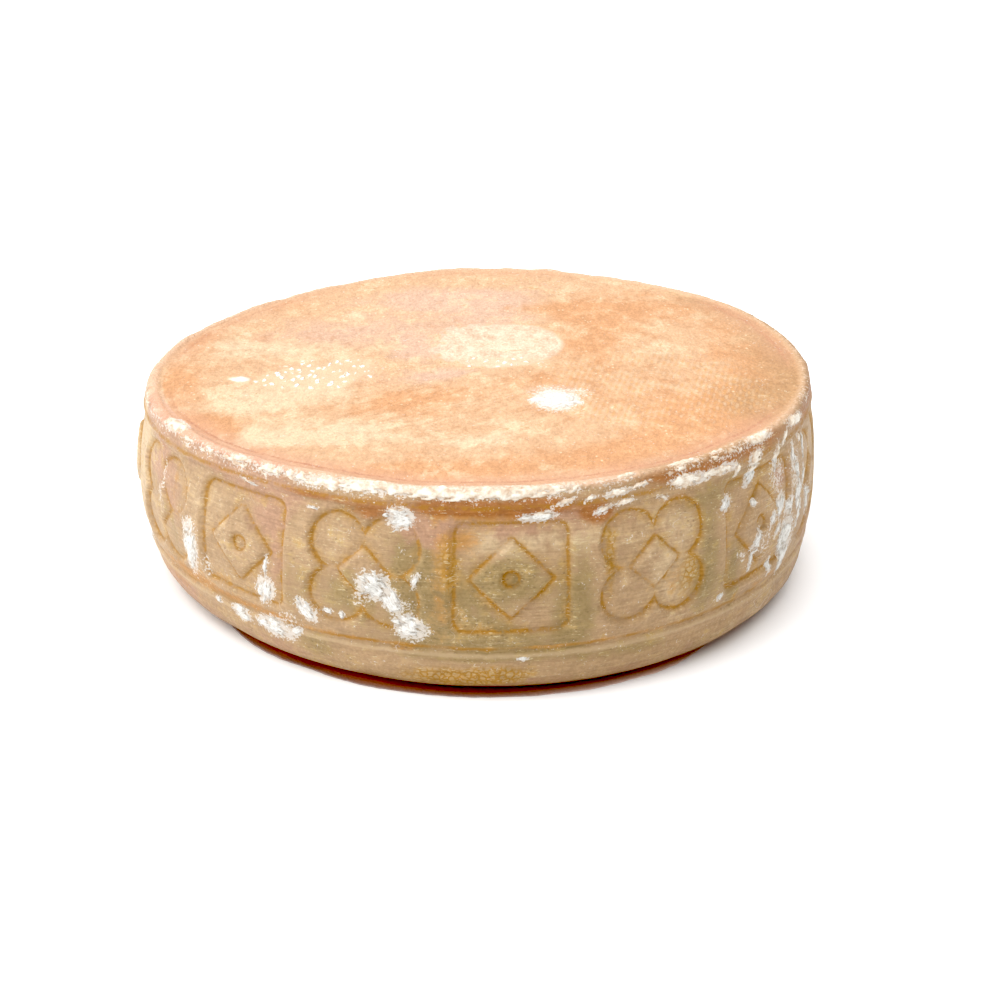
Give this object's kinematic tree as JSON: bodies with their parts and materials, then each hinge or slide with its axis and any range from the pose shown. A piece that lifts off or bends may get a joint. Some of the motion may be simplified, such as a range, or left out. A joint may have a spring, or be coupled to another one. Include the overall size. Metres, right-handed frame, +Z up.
{
  "type": "cheese wheel",
  "caption": "Whole uncut wheel of washed-rind ewe's-milk cheese with a bulging side, a raised rim and a pressed frieze of panels and quatrefoils.",
  "frame": {"origin": "centre of the bounding box on the plane of the flat base that the wheel rests on", "axes": "+Z up through the wheel's flat faces, -Y towards its front, where the white mould on the side begins; +X is the taller side"},
  "size_m": [0.2616, 0.2616, 0.0797],
  "materials": {
    "rind": "matt, slightly greasy natural rind, peach-orange on top and olive-tan at the side, with white mould"
  },
  "bodies": {
    "root": {"cheese_wheel": "rind"}
  },
  "joints": []
}
